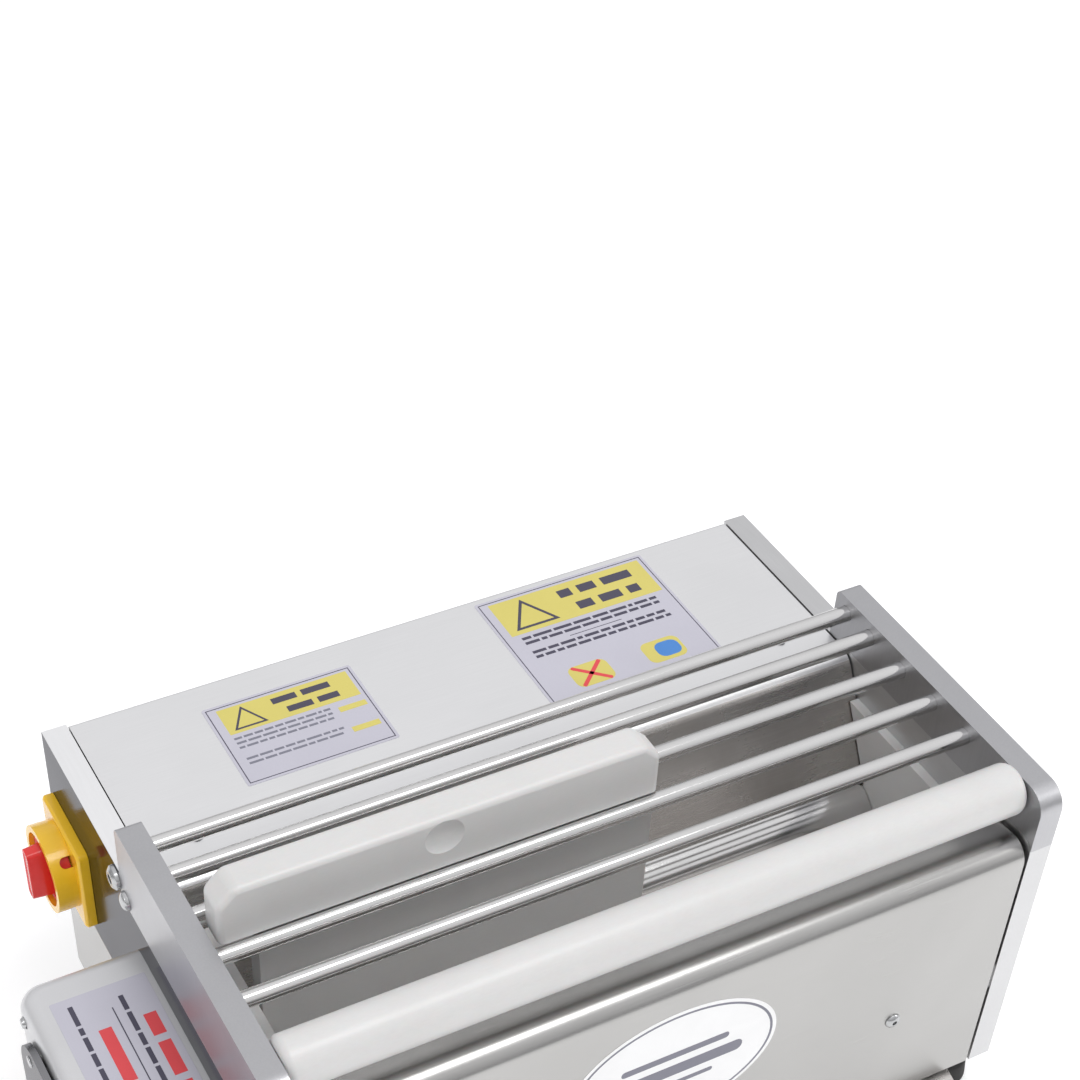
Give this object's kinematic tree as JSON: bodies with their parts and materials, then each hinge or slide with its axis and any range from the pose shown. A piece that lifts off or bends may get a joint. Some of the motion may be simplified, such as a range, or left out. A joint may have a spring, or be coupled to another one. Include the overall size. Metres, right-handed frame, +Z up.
{
  "type": "motorised dough sheeter",
  "caption": "Benchtop powered dough roller: thick side plates, sheeting rollers under a rod guard, white feed roller, pestle, rotary switch and gap lever.",
  "frame": {"origin": "bottom centre of the whole machine's bounding box, on the bench", "axes": "+X to the operator's right along the rollers, +Y from the front panel to the back, +Z up"},
  "size_m": [0.581, 0.352, 0.2993],
  "materials": {
    "satin_plate": "satin",
    "polished_plate": "polished",
    "polished_steel": "polished",
    "sheet_steel": "brushed",
    "gear_steel": "machined",
    "screw_steel": "satin",
    "brass": "machined",
    "white_plastic": "satin",
    "yellow_plastic": "gloss",
    "red_plastic": "gloss",
    "black_plastic": "matte",
    "black_rubber": "matte",
    "hood_metal": "satin",
    "motor_paint": "satin",
    "cast_alloy": "cast"
  },
  "bodies": {
    "machine": {"left_side_plate": "polished_plate", "right_side_plate": "satin_plate", "left_guard_cheek": "polished_plate", "right_guard_cheek": "satin_plate", "guard_rods": "polished_steel", "feed_roller_shaft": "polished_steel", "guard_screws": "screw_steel", "front_panel": "sheet_steel", "panel_rail": "sheet_steel", "panel_screws": "screw_steel", "top_cover": "sheet_steel", "cover_screws": "screw_steel", "rear_casing": "sheet_steel", "base_plate": "sheet_steel", "foot_pads": "black_rubber", "foot_stems": "screw_steel", "cable_gland": "black_plastic", "tie_bars": "gear_steel", "tie_screws": "screw_steel", "hopper_front_wall": "sheet_steel", "left_side_guide": "white_plastic", "right_side_guide": "white_plastic", "outfeed_chute": "sheet_steel", "scrapers": "sheet_steel", "idler_pin": "gear_steel", "rear_roller_bushes": "brass", "adjuster_hood": "hood_metal", "hood_posts": "gear_steel", "hood_screws": "screw_steel", "dial_plate": "polished_plate", "dial_screws": "screw_steel", "switch_plate": "yellow_plastic", "switch_body": "black_plastic", "gearbox_casing": "cast_alloy", "gearbox_lid": "cast_alloy", "motor_fan_cover": "motor_paint", "motor_casing": "motor_paint", "motor_shield": "cast_alloy", "motor_stator": "gear_steel"},
    "feed": {"feed_roller": "white_plastic"},
    "rear_sheeter": {"rear_roller": "polished_steel", "rear_roller_gear": "gear_steel"},
    "carriage": {"carriage_blocks": "cast_alloy", "front_roller_bushes": "brass"},
    "front_sheeter": {"front_roller": "polished_steel", "front_roller_gear": "gear_steel"},
    "idler": {"idler_gear": "gear_steel"},
    "output": {"output_shaft": "gear_steel"},
    "intermediate": {"intermediate_shaft": "gear_steel"},
    "rotor": {"motor_rotor": "gear_steel", "motor_fan": "black_plastic"},
    "lever": {"lever_shaft": "gear_steel", "lever_arm": "polished_steel", "lever_knob": "black_plastic"},
    "adjuster": {"cam_shaft": "gear_steel", "gap_cams": "gear_steel", "cam_shaft_gear": "gear_steel"},
    "pestle": {"pestle_handle": "white_plastic", "pestle_blade": "white_plastic"},
    "switch_rotor": {"switch_knob": "red_plastic"}
  },
  "joints": [
    {"name": "feed_roller_spin", "type": "hinge", "parent": "machine", "child": "feed", "pos_m": [0.0445, -0.1348, 0.258], "axis": [1, 0, 0], "continuous": true},
    {"name": "rear_roller_spin", "type": "hinge", "parent": "machine", "child": "rear_sheeter", "pos_m": [0.0445, -0.01175, 0.1345], "axis": [1, 0, 0], "continuous": true},
    {"name": "gap_slide", "type": "slide", "parent": "machine", "child": "carriage", "axis": [0, -1, 0], "range_m": [0, 0.004]},
    {"name": "front_roller_spin", "type": "hinge", "parent": "carriage", "child": "front_sheeter", "pos_m": [0.0445, -0.07225, 0.1345], "axis": [1, 0, 0], "continuous": true},
    {"name": "idler_spin", "type": "hinge", "parent": "machine", "child": "idler", "pos_m": [-0.1695, 0.04528, 0.11546], "axis": [1, 0, 0], "continuous": true},
    {"name": "output_spin", "type": "hinge", "parent": "machine", "child": "output", "pos_m": [-0.1695, 0.10112, 0.10351], "axis": [1, 0, 0], "continuous": true},
    {"name": "intermediate_spin", "type": "hinge", "parent": "machine", "child": "intermediate", "pos_m": [-0.1155, 0.07222, 0.13816], "axis": [1, 0, 0], "continuous": true},
    {"name": "rotor_spin", "type": "hinge", "parent": "machine", "child": "rotor", "pos_m": [-0.0155, 0.10112, 0.16951], "axis": [1, 0, 0], "continuous": true},
    {"name": "gap_lever", "type": "hinge", "parent": "machine", "child": "lever", "pos_m": [-0.2555, -0.056, 0.1345], "axis": [1, 0, 0], "range_deg": [0, 150]},
    {"name": "cam_shaft_turn", "type": "hinge", "parent": "machine", "child": "adjuster", "pos_m": [0.0445, -0.121, 0.1345], "axis": [1, 0, 0], "range_deg": [-150, 0]},
    {"name": "pestle_lift", "type": "slide", "parent": "machine", "child": "pestle", "axis": [0, 0, 1], "range_m": [0, 0.12]},
    {"name": "switch_turn", "type": "hinge", "parent": "machine", "child": "switch_rotor", "pos_m": [-0.2055, 0.1295, 0.163], "axis": [1, 0, 0], "range_deg": [0, 90]}
  ],
  "couplings": [
    {"joint": "front_roller_spin", "follows": "rear_roller_spin", "ratio": -1},
    {"joint": "idler_spin", "follows": "rear_roller_spin", "ratio": -1},
    {"joint": "output_spin", "follows": "rear_roller_spin", "ratio": 1.1111},
    {"joint": "intermediate_spin", "follows": "rear_roller_spin", "ratio": -4.4444},
    {"joint": "rotor_spin", "follows": "rear_roller_spin", "ratio": 20.741},
    {"joint": "cam_shaft_turn", "follows": "gap_slide", "rad_per_m": -654.5},
    {"joint": "gap_lever", "follows": "gap_slide", "rad_per_m": 654.5}
  ]
}
